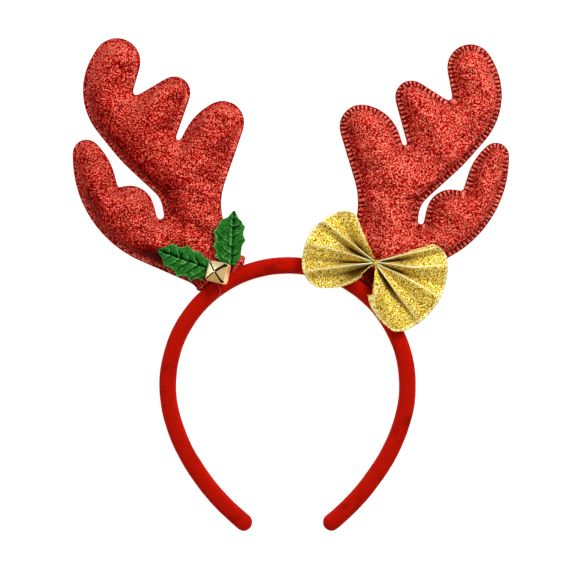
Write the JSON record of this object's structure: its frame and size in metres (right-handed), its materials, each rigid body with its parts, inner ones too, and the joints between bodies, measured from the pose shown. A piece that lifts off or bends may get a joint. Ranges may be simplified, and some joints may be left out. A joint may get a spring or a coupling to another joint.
{
  "type": "antler headband",
  "caption": "Costume headband: padded velvet hoop with stuffed glitter antlers, holly leaves, a jingle bell and a pleated gold bow.",
  "frame": {"origin": "centre of the bounding box, on the surface that the headband lies on", "axes": "+Y from the hoop's open end to the antler tips, +Z out of the front, +X to the right as seen from the front"},
  "size_m": [0.2492, 0.2814, 0.025],
  "materials": {
    "velvet": "red velvet pile over foam",
    "glitter_cloth": "red glitter cloth, stuffed and sewn round the edge",
    "holly_leaf": "green stiffened cloth, embossed with veins",
    "bell_metal": "polished pale gold",
    "gold_ribbon": "gold metallic mesh ribbon",
    "gold_cord": "gold cord"
  },
  "bodies": {
    "root": {"headband": "velvet", "antler_left": "glitter_cloth", "antler_right": "glitter_cloth", "holly_leaf_low": "holly_leaf", "holly_leaf_high": "holly_leaf", "jingle_bell": "bell_metal", "bow": "gold_ribbon", "bow_tie": "gold_cord"}
  },
  "joints": []
}
